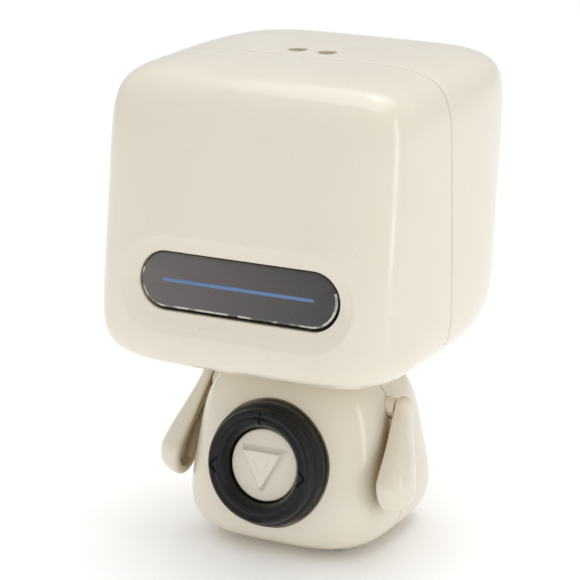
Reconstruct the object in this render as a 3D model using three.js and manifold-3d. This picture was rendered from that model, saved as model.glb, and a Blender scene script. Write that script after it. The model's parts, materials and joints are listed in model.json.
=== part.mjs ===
// Desk companion coding robot: a big rounded head on a small rounded torso, two hanging arms,
// a four-way control ring round a centre button, and a light line behind a smoked window.
// Millimetres, +Z up. Origin on the floor under the torso's centre, face towards -Y,
// the robot's own left side towards +X.
import * as THREE from 'three';
import { mergeVertices } from 'three/addons/utils/BufferGeometryUtils.js';
import Module from 'manifold-3d';

const wasm = await Module();
wasm.setup();

// ---------------------------------------------------------------- driving dimensions
const GAP = 0.3; // clearance between pieces that meet
const RAD = Math.PI / 180;

const head = {
  centre: [0, -6.4, 91.4], // the shell seam passes through this point
  half: { x: 43, front: 35.7, rear: 52.2, z: 38.67 },
  power: { x: 5.7, front: 5.5, rear: 2.9, z: 8.35 },
  lean: { x: -0.016, front: -0.144, rear: 0.145 }, // growth of each half size towards the top
};
const torso = {
  centre: [0, 0, 25.15],
  half: { x: 27.4, front: 24, rear: 26.4, z: 24.85 },
  power: { x: 3.5, front: 3.5, rear: 3.5, z: 4 },
  lean: { x: -0.13, front: -0.2, rear: -0.2 },
};
const HEAD_WALL = 2.2;
const TORSO_WALL = 2;
const TORSO_SEAM_Y = -2.6;

// The face slopes back by faceLean; its local depths are measured out from this point.
const faceCentre = [0.5, -44, 77.6];
const faceLean = 7.6 * RAD;
const windowSize = { x: 27.6, y: 7, face: -3.1, thick: 1.5 };
const dishSteps = [
  { x: 31.5, y: 11.2, offset: -1.1, floor: -0.9 },
  { x: 29.6, y: 9.2, offset: -0.5, floor: -1.7 },
];
const lightLine = { x: 21.35, y: 0.55 };
const micHole = { x: 4.26, y: 0.9, r: 2.85 };

const control = { base: [0, -24.2, 25.65], tilt: 8.5 * RAD }; // ring base centre; axis leans up
const ring = { outer: 16.7, front: 5.9, lip: 10, bore: 11.2, skirt: 12.6, skirtEnd: -5.5, foot: -1 };
const ringSeat = { r: 17.2, floor: -1.7 };
const ringHoleR = 13.6;
const button = { r: 9.6, face: 2.8, stem: 3.6, stemEnd: -7.2 };
const pivotDepth = -6.8; // the ring's two tilt axes cross here, measured along its axis

const shoulder = { x: 24.6, y: TORSO_SEAM_Y, z: 38.5 };
const arm = {
  length: 20.6, topR: 3.4, endR: 7, topThick: 3.3, endThick: 7.3,
  innerX: 2.8, splay: 5.5, yaw: -5.3, rest: 33 * RAD, // splay and yaw in degrees
};
// The arm's inner face is sunk from this far below the pivot down to its end; depths are from its rim.
const recess = { top: 8.5, topR: 1, endR: 4.4, floor: 1.8, back: 2.6 };
const washer = { r: 2.7, bore: 1.9, from: 24.6, to: 26.7 };
const pinR = 1.55;
const neck = { holeR: 7.6, headHoleR: 7.4 };
const servo = { x: [-4.9, 14.9], y: [-4.2, 4.2], z: [22.8, 43], ear: 4.1 };
const base = { x: 16, y: 13, padTop: 1.2, hatch: [1.5, 3.9], boardZ: 9.2 };
const rearPort = { z: 14.3, wallY: 28.2 };
const grille = { z: 86, halfX: 12, halfZ: 10.5, corner: 3, slotX: 9.5, slotHalf: 0.8, pitch: 3.6 };
const speaker = { z: 86, r: 11, coneR: 6.5 };

// ---------------------------------------------------------------- materials
const finish = (color, roughness, metalness = 0) =>
  new THREE.MeshStandardMaterial({ color, roughness, metalness });
const cream = finish('#ded6c8', 0.22);
const softBlack = finish('#2b2b2d', 0.5);
const smoked = finish('#4a4846', 0.12);
const glow = finish('#5f86c4', 0.4);
const rubberBlack = finish('#1c1c1d', 0.8);
const board = finish('#1f5a3c', 0.5);
const steel = finish('#b9bcc0', 0.35, 0.9);
const nylon = finish('#e9e7e0', 0.5);
const servoBlue = finish('#27488c', 0.4);
const foil = finish('#b6b8bb', 0.45, 0.4);
const silicone = finish('#d7d5cf', 0.7);

// ---------------------------------------------------------------- solids
function solid(geometry) {
  const bare = geometry.clone();
  bare.deleteAttribute('normal');
  bare.deleteAttribute('uv');
  const merged = mergeVertices(bare, 1e-4);
  return new wasm.Manifold(new wasm.Mesh({
    numProp: 3,
    vertProperties: new Float32Array(merged.attributes.position.array),
    triVerts: new Uint32Array(merged.index.array),
  }));
}

function toGeometry(manifold) {
  const { vertProperties, triVerts } = manifold.getMesh();
  const geometry = new THREE.BufferGeometry();
  geometry.setAttribute('position', new THREE.BufferAttribute(vertProperties, 3));
  geometry.setIndex(new THREE.BufferAttribute(triVerts, 1));
  return geometry;
}

const join = (...parts) => parts.reduce((all, part) => all.add(part));
const cut = (base, ...tools) => tools.reduce((left, tool) => left.subtract(tool), base);

// An axis-aligned block between two corners.
function block([x0, x1], [y0, y1], [z0, z1]) {
  const box = new THREE.BoxGeometry(x1 - x0, y1 - y0, z1 - z0);
  return solid(box.translate((x0 + x1) / 2, (y0 + y1) / 2, (z0 + z1) / 2));
}

// A rod along Z (or along X or Y) between two stations, centred at the other two coordinates.
function rod(r, [from, to], { at = [0, 0], along = 'z', sides = 16, r2 = r } = {}) {
  const cylinder = new THREE.CylinderGeometry(r2, r, to - from, sides);
  const mid = (from + to) / 2;
  cylinder.rotateX(Math.PI / 2);
  if (along === 'z') return solid(cylinder.translate(at[0], at[1], mid));
  if (along === 'x') return solid(cylinder.rotateY(Math.PI / 2).translate(mid, at[0], at[1]));
  return solid(cylinder.rotateX(-Math.PI / 2).translate(at[0], mid, at[1]));
}

// A washer or tube: an outer rod with a smaller one taken out.
function tube(outer, inner, [from, to], options = {}) {
  return cut(rod(outer, [from, to], options), rod(inner, [from - 1, to + 1], options));
}

// A closed profile of [radius, height] points turned round Z.
function turned(profile, sides = 40) {
  const points = profile.map(([r, z]) => new THREE.Vector2(r, z));
  return solid(new THREE.LatheGeometry([...points, points[0]], sides).rotateX(Math.PI / 2));
}

// A stadium in the X-Y plane with its straight part along X, standing from z0 to z1.
function pill(halfX, halfY, [z0, z1], centreY = 0) {
  const run = halfX - halfY;
  const shape = new THREE.Shape();
  shape.absarc(run, centreY, halfY, -Math.PI / 2, Math.PI / 2);
  shape.absarc(-run, centreY, halfY, Math.PI / 2, 1.5 * Math.PI);
  const options = { depth: z1 - z0, bevelEnabled: false, curveSegments: 10 };
  return solid(new THREE.ExtrudeGeometry(shape, options).translate(0, 0, z0));
}

// A box with swollen faces and rounded edges: |u|^px + |v|^py + |w|^pz = 1, whose depth and
// width grow or shrink with height. `wall` offsets it inwards.
function swollenBox({ centre, half, power, lean }, wall, steps) {
  const box = new THREE.BoxGeometry(2, 2, 2, steps, steps, steps);
  const position = box.attributes.position;
  for (let i = 0; i < position.count; i++) {
    const at = [position.getX(i), position.getY(i), position.getZ(i)];
    const [dx, dy, dz] = at.map((value) => Math.sin(value * Math.PI / 2));
    const front = dy < 0;
    const powerY = front ? power.front : power.rear;
    const level = (t) =>
      Math.abs(t * dx) ** power.x + Math.abs(t * dy) ** powerY + Math.abs(t * dz) ** power.z;
    let low = 0;
    let high = 1;
    for (let turn = 0; turn < 40; turn++) {
      const middle = (low + high) / 2;
      if (level(middle) < 1) low = middle;
      else high = middle;
    }
    const [u, v, w] = [low * dx, low * dy, low * dz];
    const depth = (front ? half.front : half.rear) - wall;
    position.setXYZ(
      i,
      centre[0] + (half.x - wall) * u * (1 + lean.x * w),
      centre[1] + depth * v * (1 + (front ? lean.front : lean.rear) * w),
      centre[2] + (half.z - wall) * w,
    );
  }
  return solid(box);
}

const WIDE = [-200, 200];
const before = (y) => block(WIDE, [-200, y], WIDE);
const behind = (y) => block(WIDE, [y, 200], WIDE);

// ---------------------------------------------------------------- scene graph
const robot = new THREE.Group();

function add(name, shape, material, parent = robot) {
  const geometry = shape.getMesh ? toGeometry(shape) : shape;
  const mesh = new THREE.Mesh(geometry, material);
  mesh.name = name;
  parent.add(mesh);
  return mesh;
}

// A local frame on a sloped front: X right, Y up the slope, Z straight out of it.
function slopedFrame(origin, lean) {
  const frame = new THREE.Group();
  frame.position.set(...origin);
  frame.rotation.x = Math.PI / 2 - lean;
  frame.updateMatrix();
  robot.add(frame);
  return frame;
}
const chest = slopedFrame(control.base, control.tilt);
const face = slopedFrame(faceCentre, faceLean);
const inChest = (part) => part.transform(chest.matrix.elements);
const inFace = (part) => part.transform(face.matrix.elements);

// ---------------------------------------------------------------- torso
function buildTorso() {
  const hollow = cut(swollenBox(torso, 0, 10), swollenBox(torso, TORSO_WALL, 8));
  const shoulderHoles = rod(2.2, [-40, 40], { at: [shoulder.y, shoulder.z], along: 'x' });
  const seatSpans = [[washer.from - GAP, 40], [-40, GAP - washer.from]];
  const washerSeats = seatSpans.map((span) =>
    rod(washer.r + GAP, span, { at: [shoulder.y, shoulder.z], along: 'x', sides: 20 }));
  const neckHole = rod(neck.holeR, [40, 60], { sides: 24 });
  const baseOpening = block([-base.x - GAP, base.x + GAP], [-base.y - GAP, base.y + GAP], [-1, 6]);
  const casing = cut(hollow, shoulderHoles, ...washerSeats, neckHole, baseOpening);

  const seatCut = inChest(rod(ringSeat.r, [ringSeat.floor, 20], { sides: 40 }));
  const ringHole = inChest(rod(ringHoleR, [-12, 20], { sides: 32 }));
  const front = casing.intersect(before(TORSO_SEAM_Y - GAP / 2));
  add('torso_front_shell', cut(front, seatCut, ringHole), cream);

  const { z } = rearPort;
  const socketHole = block([-4.9, 4.9], [15, 40], [z - 2.1, z + 2.1]);
  const switchHole = block([10.1, 15.9], [15, 40], [z - 1.9, z + 1.9]);
  const rear = casing.intersect(behind(TORSO_SEAM_Y + GAP / 2));
  add('torso_rear_shell', cut(rear, socketHole, switchHole), cream);
}

function buildBase() {
  const corner = 3;
  const [x, y] = [base.x - corner, base.y - corner];
  const span = [0, base.padTop];
  const corners = [[-x, -y], [x, -y], [-x, y], [x, y]].map((at) => rod(corner, span, { at, sides: 20 }));
  const [wide, deep] = [block([-base.x, base.x], [-y, y], span), block([-x, x], [-base.y, base.y], span)];
  const pad = join(wide, deep, ...corners);
  add('foot_pad', pad, rubberBlack);

  const { boardZ } = base;
  const postsX = { right: -14, left: 14 };
  const postsY = { front: -3, rear: 11 };
  const posts = Object.entries(postsX).flatMap(([side, atX]) =>
    Object.entries(postsY).map(([end, atY]) => {
      const name = `board_screw_${side}_${end}`;
      return { name, at: [atX, atY], sides: 10 };
    }));
  const standoffs = posts.map((post) => rod(2.2, [base.hatch[1] - 0.2, boardZ - GAP], post));
  add('base_hatch', join(block([-base.x, base.x], [-base.y, base.y], base.hatch), ...standoffs), cream);
  const top = boardZ + 1.6;
  for (const post of posts) {
    const screw = join(rod(1.9, [top + GAP, top + 1.7], post), rod(1, [boardZ, top + 0.4], post));
    add(post.name, screw, steel);
  }
  const screwHoles = posts.map((post) => rod(1.3, [5, 14], post));
  const slab = cut(block([-19, 19], [-7.5, 13.4], [boardZ, top]), ...screwHoles);
  const chipPlaces = [[[-7, 3], [0, 10]], [[6, 10], [-5, -1]], [[-6, -2], [-6, -2]], [[6, 10], [4, 11]]];
  const chips = chipPlaces.map(([chipX, chipY]) => block(chipX, chipY, [top - 0.2, top + 1.4]));
  add('main_board', join(slab, ...chips), board);
}

function buildPower() {
  const { z, wallY } = rearPort;
  add('battery_cell', block([-15, 15], [12.2, 17.6], [18.2, 36.5]), foil);
  const shell = cut(block([-4.6, 4.6], [wallY - 9.4, wallY - 0.6], [z - 1.8, z + 1.8]),
    block([-3.9, 3.9], [wallY - 7.2, wallY + 5], [z - 1.1, z + 1.1]));
  add('charge_socket', join(shell, block([-3, 3], [wallY - 7.7, wallY - 1.4], [z - 0.3, z + 0.3])), steel);
  add('power_switch_body', block([8.4, 17.6], [wallY - 9, wallY - 6], [z - 2.5, z + 2.5]), steel);
  const knob = join(block([11.6, 14.4], [wallY - 5.2, wallY + 1.2], [z - 1.4, z + 1.4]),
    block([9.4, 16.6], [wallY - 5.6, wallY - 4.6], [z - 1.7, z + 1.7]));
  add('power_switch_knob', knob, softBlack);
}

function buildNeckDrive() {
  const [x0, x1] = servo.x;
  const caseBlock = block(servo.x, servo.y, servo.z);
  const screwX = [x0 - servo.ear / 2, x1 + servo.ear / 2];
  const ears = cut(block([x0 - servo.ear, x1 + servo.ear], servo.y, [34.9, 36.6]),
    ...screwX.map((x) => rod(1.1, [30, 40], { at: [x, 0], sides: 10 })));
  const gearBoss = rod(4, [42, 46.2], { sides: 20 });
  add('head_servo', join(caseBlock, ears, gearBoss), servoBlue);
  add('servo_spline', rod(2.2, [46.5, 51.4], { sides: 12 }), nylon);
  const shelf = cut(block([x0 - 7, x1 + 4.6], [-7, 9.6], [32.6, 34.6]),
    block([x0 - 0.4, x1 + 0.4], [-8, 4.6], [30, 36]));
  const legs = [x0 - 7, x1 + 2].flatMap((x) =>
    [-7, 7].map((y) => block([x, x + 2.6], [y, y + 2.6], [11.1, 33])));
  add('servo_bracket', join(shelf, ...legs), nylon);
  for (const [index, side] of ['right', 'left'].entries()) {
    const place = { at: [screwX[index], 0], sides: 10 };
    add(`servo_screw_${side}`, join(rod(1.8, [36.9, 38.1], place), rod(0.8, [35.1, 37], place)), steel);
  }
  add('neck_bearing', tube(neck.holeR - GAP, 5.9, [47.4, 52.2], { sides: 24 }), nylon);
}

// ---------------------------------------------------------------- controls on the chest
function buildControls() {
  const profile = [
    [ring.outer, ring.foot], [ring.outer, 0.3], [16.4, 1.4], [15.5, 3], [14.8, 4.4], [14.1, 5.4],
    [13.2, ring.front], [12, 5.8],
    [11.2, 5.3], [10.5, 4.2], [ring.lip, 3.3], [ring.lip, -1.5], [ring.bore, -1.6],
    [ring.bore, ring.skirtEnd], [ring.skirt, ring.skirtEnd], [ring.skirt, ring.foot],
  ];
  add('control_ring', turned(profile, 40), softBlack, chest);

  const carrierBack = -7.8;
  const carrierFront = ring.skirtEnd - GAP;
  const hubs = [[-16.2, -14.6], [14.6, 16.2]].map((span) =>
    rod(0.9, span, { at: [0, pivotDepth], along: 'x', sides: 10 }));
  const carrier = tube(14.9, 11, [carrierBack, carrierFront], { sides: 32 });
  add('ring_carrier', join(carrier, ...hubs), nylon, chest);
  const crossHoles = rod(1.15, [-30, 30], { at: [0, pivotDepth], along: 'x', sides: 12 });
  const trunnions = [[-17.7, -16.5], [16.5, 17.7]].map((span) =>
    rod(0.9, span, { at: [0, pivotDepth], along: 'y', sides: 10 }));
  const gimbal = cut(tube(16.8, 15.4, [pivotDepth - 1.8, pivotDepth + 1.8], { sides: 32 }), crossHoles);
  add('rocker_gimbal', join(gimbal, ...trunnions), steel, chest);

  const lugs = [[-17.9, -17.1], [17.1, 17.9]].map((lugY) => block([-2.4, 2.4], lugY, [-13.5, -5.7]));
  const yoke = join(block([-4, 4], [-17.9, 17.9], [-15, -13.3]), ...lugs);
  const yokeHoles = rod(1.1, [-30, 30], { at: [0, pivotDepth], along: 'y', sides: 12 });
  add('rocker_yoke', cut(yoke, yokeHoles), nylon, chest);

  add('control_board', block([-12.5, 12.5], [-16, 16], [-12.1, -10.9]), board, chest);
  const domePlaces = [[0, 0], [13, 0], [-13, 0], [0, 13], [0, -13]];
  const domes = domePlaces.map((at) => rod(2.6, [-9.9, -8.8], { at, r2: 1.7, sides: 12 }));
  add('keypad_mat', join(rod(16.2, [-10.6, -9.8], { sides: 32 }), ...domes), silicone, chest);

  const cap = rod(button.r, [button.face - 3, button.face], { sides: 40 });
  const underside = rod(button.r - 1.6, [button.face - 5, button.face - 1.8], { sides: 32 });
  const arrow = new THREE.Shape([[-6, 4.9], [6, 4.9], [0, -6.2]].map(([x, y]) => new THREE.Vector2(x, y)));
  const pocketShape = new THREE.ExtrudeGeometry(arrow, { depth: 5, bevelEnabled: false });
  const pocket = solid(pocketShape.translate(0, 0, button.face - 1.1));
  const stem = rod(button.stem, [button.stemEnd, button.face - 1.7], { sides: 16 });
  add('center_button', join(cut(cap, underside, pocket), stem), cream, chest);
  add('button_guide', tube(5.6, 4.1, [-9.5, -3.6], { sides: 20 }), nylon, chest);
}

// ---------------------------------------------------------------- arms
// Outline of a circle of radius r0 below the pivot by top, one of r1 at the arm's end, and their tangents.
function teardrop(r0, r1, top = 0, arcs = 8) {
  const lean = Math.asin((r1 - r0) / (arm.length - top));
  const points = [];
  const arc = (centre, r, from, to) => {
    for (let i = 0; i <= arcs; i++) {
      const angle = from + (to - from) * i / arcs;
      points.push(new THREE.Vector2(r * Math.cos(angle), centre + r * Math.sin(angle)));
    }
  };
  arc(-top, r0, -lean, Math.PI + lean);
  arc(-arm.length, r1, Math.PI + lean, 2 * Math.PI - lean);
  return points;
}

// The arm hangs along -Z with its flat inner face towards the torso (-X) and its outer face domed.
// The fractions are how far in from the rim a ring of the dome lies, and how high it stands.
function armBody() {
  const rings = [[0, 0.02], [0, 0.35], [0.1, 0.62], [0.28, 0.82], [0.55, 0.95], [0.85, 1]];
  const outlines = rings.map(([shrink, height]) => {
    const outline = teardrop(arm.topR * (1 - shrink), arm.endR * (1 - shrink));
    return outline.map((point) => {
      const along = THREE.MathUtils.clamp(-point.y / arm.length, 0, 1);
      const thick = THREE.MathUtils.lerp(arm.topThick, arm.endThick, along);
      return [thick * height, point.x, point.y];
    });
  });
  const count = outlines[0].length;
  const vertices = outlines.flat(2);
  const faces = [];
  for (let k = 0; k + 1 < rings.length; k++) {
    for (let i = 0; i < count; i++) {
      const j = (i + 1) % count;
      const [a, b, c, d] = [k * count + i, k * count + j, (k + 1) * count + j, (k + 1) * count + i];
      faces.push(a, b, c, a, c, d);
    }
  }
  const last = (rings.length - 1) * count;
  for (let i = 1; i + 1 < count; i++) {
    faces.push(0, i + 1, i);
    faces.push(last, last + i, last + i + 1);
  }
  const geometry = new THREE.BufferGeometry();
  geometry.setAttribute('position', new THREE.Float32BufferAttribute(vertices, 3));
  geometry.setIndex(faces);
  return solid(geometry);
}

function recessSlab(inset, [x0, x1]) {
  const outline = new THREE.Shape(teardrop(recess.topR - inset, recess.endR - inset, recess.top));
  const slab = new THREE.ExtrudeGeometry(outline, { depth: x1 - x0, bevelEnabled: false });
  // Shape X runs along -Y of the arm and shape Y along Z, so the slab's depth runs along X.
  return solid(slab.rotateX(Math.PI / 2).rotateZ(Math.PI / 2).translate(x0, 0, 0));
}

function buildArm(side, sign) {
  const hanger = new THREE.Group();
  hanger.position.set(sign * shoulder.x, shoulder.y, shoulder.z);
  hanger.rotation.x = -arm.rest;
  robot.add(hanger);
  const placed = (part) => (sign > 0 ? part : part.mirror([1, 0, 0]));
  const splayed = (part) =>
    part.rotate([0, 0, arm.yaw]).rotate([0, -arm.splay, 0]).translate([arm.innerX, 0, 0]);
  const pinAxis = { along: 'x', sides: 14 };

  const pocket = splayed(recessSlab(0, [-1, recess.back + GAP]));
  const shell = cut(splayed(armBody()), pocket, rod(pinR + 0.35, [0, 5.2], pinAxis));
  add(`${side}_arm_shell`, placed(shell), cream, hanger);
  const cover = splayed(recessSlab(GAP, [recess.floor, recess.back]));
  add(`${side}_arm_inner_cover`, placed(cover), cream, hanger);
  const pin = join(rod(pinR, [-5, 4.8], pinAxis), rod(2.5, [-5.2, -4], pinAxis));
  add(`${side}_shoulder_pin`, placed(pin), nylon, hanger);
}

function buildShoulderBush(side, sign) {
  const span = sign > 0 ? [washer.from, washer.to] : [-washer.to, -washer.from];
  const place = { at: [shoulder.y, shoulder.z], along: 'x', sides: 20 };
  add(`${side}_shoulder_washer`, tube(washer.r, washer.bore, span, place), cream);
}

// ---------------------------------------------------------------- head
function buildHead() {
  const hollow = cut(swollenBox(head, 0, 12), swollenBox(head, HEAD_WALL, 8));
  const neckHole = rod(neck.headHoleR, [45, 60], { sides: 24 });
  const seamY = head.centre[1];
  const casing = cut(hollow, neckHole);

  const dishCuts = dishSteps.map(({ x, y, offset, floor }) => inFace(pill(x, y, [floor, 10], offset)));
  const windowHole = inFace(pill(windowSize.x + 0.4, windowSize.y + 0.4, [-10, 10]));
  add('head_front_shell', cut(casing.intersect(before(seamY - GAP / 2)), ...dishCuts, windowHole), cream);

  const micHoles = [-1, 1].map((s) => rod(micHole.r, [120, 140], { at: [s * micHole.x, micHole.y] }));
  const grilleHole = grillePrism(grille.halfX + GAP, grille.halfZ + GAP);
  add('head_rear_shell', cut(casing.intersect(behind(seamY + GAP / 2)), ...micHoles, grilleHole), cream);

  const slots = [-2, -1, 0, 1, 2].map((index) => {
    const z = grille.z + index * grille.pitch;
    return block([-grille.slotX, grille.slotX], [30, 60], [z - grille.slotHalf, z + grille.slotHalf]);
  });
  const plate = hollow.intersect(grillePrism(grille.halfX, grille.halfZ));
  add('speaker_grille', cut(plate, ...slots), softBlack);
}

// A block with rounded corners through the back of the head, as wide and high as the grille.
function grillePrism(halfX, halfZ) {
  const depth = [25, 60];
  const [x, z] = [halfX - grille.corner, halfZ - grille.corner];
  const corners = [[-x, -z], [x, -z], [-x, z], [x, z]].map(([atX, atZ]) =>
    rod(grille.corner, depth, { at: [atX, grille.z + atZ], along: 'y', sides: 16 }));
  return join(block([-halfX, halfX], depth, [grille.z - z, grille.z + z]),
    block([-x, x], depth, [grille.z - halfZ, grille.z + halfZ]), ...corners);
}

function buildFace() {
  const { x, y, face: front, thick } = windowSize;
  const back = front - thick;
  add('face_window', pill(x, y, [back, front]), smoked, face);
  const gasketFront = back - GAP;
  const gasket = cut(pill(x + 1, y + 1, [gasketFront - 1.1, gasketFront]), pill(x - 2.4, y - 2.4, [-20, 20]));
  add('window_gasket', gasket, rubberBlack, face);
  const lightBack = gasketFront - 2.6;
  add('light_bar', block([-lightLine.x, lightLine.x], [-0.9, 0.9], [lightBack, gasketFront]), glow, face);
  const lampFront = lightBack - GAP;
  const lamps = [-18, -12, -6, 0, 6, 12, 18].map((at) =>
    block([at - 1.2, at + 1.2], [-0.8, 0.8], [lampFront - 1, lampFront]));
  const slab = block([-27, 27], [-6, 6], [lampFront - 2.2, lampFront - 0.9]);
  add('face_board', join(slab, ...lamps), board, face);
}

function buildSound() {
  const axis = { at: [0, speaker.z], along: 'y', sides: 20 };
  const basket = rod(speaker.r, [36.5, 39.2], { ...axis, sides: 24 });
  add('speaker_driver', join(basket, rod(speaker.coneR, [31.5, 37], axis)), rubberBlack);
  const frame = cut(block([-14, 14], [33.8, 36], [72, 100]), rod(speaker.coneR + 0.5, [30, 40], axis));
  const feet = [-12, 12].flatMap((x) =>
    [-12, 12].map((z) => rod(1.6, [35.9, 38.6], { at: [x, speaker.z + z], along: 'y', sides: 10 })));
  add('speaker_frame', join(frame, ...feet), nylon);
  for (const [side, sign] of [['right', -1], ['left', 1]]) {
    const place = { at: [sign * micHole.x, micHole.y], sides: 16 };
    add(`${side}_microphone`, rod(3.6, [123.6, 126.2], place), steel);
  }
  add('microphone_board', block([-9, 9], [-3.4, 5.2], [121.9, 123.3]), board);
}

function buildNeck() {
  const screws = [['right', -20], ['left', 20]];
  const screwHoles = screws.map(([, x]) => rod(1.3, [50, 60], { at: [x, 0], sides: 10 }));
  const disc = join(rod(16, [56.8, 59], { sides: 28 }), block([-24, 24], [-5, 5], [56.8, 59]));
  const plate = cut(disc, rod(2, [50, 60], { sides: 12 }), ...screwHoles);
  const hub = tube(6.6, 3.2, [53.2, 57], { sides: 20 });
  add('neck_plate', join(plate, hub), nylon);
  const horn = join(rod(5.4, [59.3, 60.8], { sides: 16 }), block([-12, 12], [-2, 2], [59.3, 60.8]));
  add('servo_horn', cut(horn, rod(1.5, [50, 70], { sides: 10 })), nylon);
  add('horn_screw', join(rod(2.4, [61.1, 62.3], { sides: 12 }), rod(1.1, [52, 61.2], { sides: 10 })), steel);
  for (const [side, x] of screws) {
    const place = { at: [x, 0], sides: 10 };
    add(`neck_screw_${side}`, join(rod(1.7, [59.3, 60.6], place), rod(1, [55.3, 59.4], place)), steel);
  }
}

buildTorso();
buildBase();
buildPower();
buildNeckDrive();
buildControls();
for (const [side, sign] of [['left', 1], ['right', -1]]) {
  buildArm(side, sign);
  buildShoulderBush(side, sign);
}
buildHead();
buildFace();
buildSound();
buildNeck();

export default robot;
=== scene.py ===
"""Desk companion coding robot: fine meshes, materials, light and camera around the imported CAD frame.

Shapes are worked out in millimetres, in the CAD frame (+Z up, face towards -Y), and scaled to
metres when their mesh is made.
"""
import json
import math
from collections import Counter

import bmesh
import bpy
import numpy as np
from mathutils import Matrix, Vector


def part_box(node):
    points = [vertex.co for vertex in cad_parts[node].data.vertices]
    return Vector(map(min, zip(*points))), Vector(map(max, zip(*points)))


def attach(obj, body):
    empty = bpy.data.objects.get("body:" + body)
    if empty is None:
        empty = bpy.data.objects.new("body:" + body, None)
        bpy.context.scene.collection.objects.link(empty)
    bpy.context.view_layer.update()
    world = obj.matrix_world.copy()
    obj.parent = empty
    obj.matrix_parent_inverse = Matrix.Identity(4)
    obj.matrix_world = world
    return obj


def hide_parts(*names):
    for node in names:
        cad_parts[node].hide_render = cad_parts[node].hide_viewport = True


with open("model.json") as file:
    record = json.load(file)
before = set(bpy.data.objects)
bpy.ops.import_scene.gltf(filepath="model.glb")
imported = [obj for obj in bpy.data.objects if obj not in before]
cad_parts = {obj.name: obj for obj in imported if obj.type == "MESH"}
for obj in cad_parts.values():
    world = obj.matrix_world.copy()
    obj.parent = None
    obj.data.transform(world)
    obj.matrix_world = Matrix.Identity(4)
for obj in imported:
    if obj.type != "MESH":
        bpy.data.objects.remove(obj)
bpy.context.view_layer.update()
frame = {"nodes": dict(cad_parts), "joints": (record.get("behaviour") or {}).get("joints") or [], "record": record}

MM = 0.001
JOINTS = {joint["name"]: joint for joint in frame["joints"]}
RECORD = frame["record"]


def extent(*nodes):
    """Lowest and highest corner of some CAD nodes, in millimetres."""
    lows, highs = zip(*(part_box(node) for node in nodes))
    return np.min(lows, axis=0) / MM, np.max(highs, axis=0) / MM


def centre_of(node):
    low, high = extent(node)
    return (low + high) / 2


def half_size(node):
    low, high = extent(node)
    return (high - low) / 2


def add_object(name, data):
    """A new object in the scene."""
    made = bpy.data.objects.new(name, data)
    bpy.context.scene.collection.objects.link(made)
    return made


# ------ camera
AZIMUTH, ELEVATION = math.radians(27.3), math.radians(16.5)
AIM = Vector((-2.68, -6.4, 67.64)) * MM
DISTANCE = 0.6757
LENS_MM, SENSOR_MM = 160.6, 36.0


def make_camera():
    """The photograph's viewpoint: a long lens from the robot's front left, a little above it."""
    back = Vector((math.sin(AZIMUTH) * math.cos(ELEVATION), -math.cos(AZIMUTH) * math.cos(ELEVATION),
                   math.sin(ELEVATION)))
    camera = add_object("camera", bpy.data.cameras.new("camera"))
    camera.data.lens = LENS_MM
    camera.data.sensor_width = SENSOR_MM
    camera.data.clip_start = 0.01
    camera.location = AIM + back * DISTANCE
    camera.rotation_euler = back.to_track_quat("Z", "Y").to_euler()
    bpy.context.scene.camera = camera


# ------ local frames
def unit(vectors):
    return vectors / np.linalg.norm(vectors, axis=1)[:, None]


class Facing:
    """A flat local frame: x to the right, y up and z straight out of the surface."""

    def __init__(self, origin, x_axis, y_axis):
        self.origin = np.array(origin, float)
        self.axes = np.array([x_axis, y_axis, np.cross(x_axis, y_axis)], float)

    def local(self, points):
        return (points - self.origin) @ self.axes.T

    def world(self, points):
        return np.asarray(points, float) @ self.axes + self.origin


def leaning_front(origin, lean):
    """The frame of a front surface that leans back by that angle."""
    return Facing(origin, (1, 0, 0), (0, math.sin(lean), math.cos(lean)))


def from_above(x=0, y=0):
    return Facing((x, y, 0), (1, 0, 0), (0, 1, 0))


def from_below():
    return Facing((0, 0, 0), (1, 0, 0), (0, -1, 0))


def from_behind(x, z):
    return Facing((x, 0, z), (-1, 0, 0), (0, 0, 1))


# ------ sizes from the frame
GAP = 0.3  # between two moulded parts
FACE_LEAN = math.radians(7.6)
PIVOT_DEPTH = 6.8  # the ring rocks about a point so far inside the torso
WINDOW_DEPTH, WINDOW_THICK = 3.1, 1.5
ARM_REST, ARM_SPLAY, ARM_YAW = math.radians(33), math.radians(5.5), math.radians(-5.3)

press = np.array(JOINTS["button_press"]["axis"])
ring_pivot = np.array(JOINTS["ring_rock_up_down"]["pos_m"]) / MM
chest = leaning_front(ring_pivot - press * PIVOT_DEPTH, math.asin(-press[2]))

face_out = np.array([0, -math.cos(FACE_LEAN), math.sin(FACE_LEAN)])
face = leaning_front(centre_of("face_window") + face_out * (WINDOW_DEPTH + WINDOW_THICK / 2), FACE_LEAN)
window_half_x, window_half_y = half_size("face_window")[0], 7.0
shoulder = np.array(JOINTS["left_arm_swing"]["pos_m"]) / MM


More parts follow.
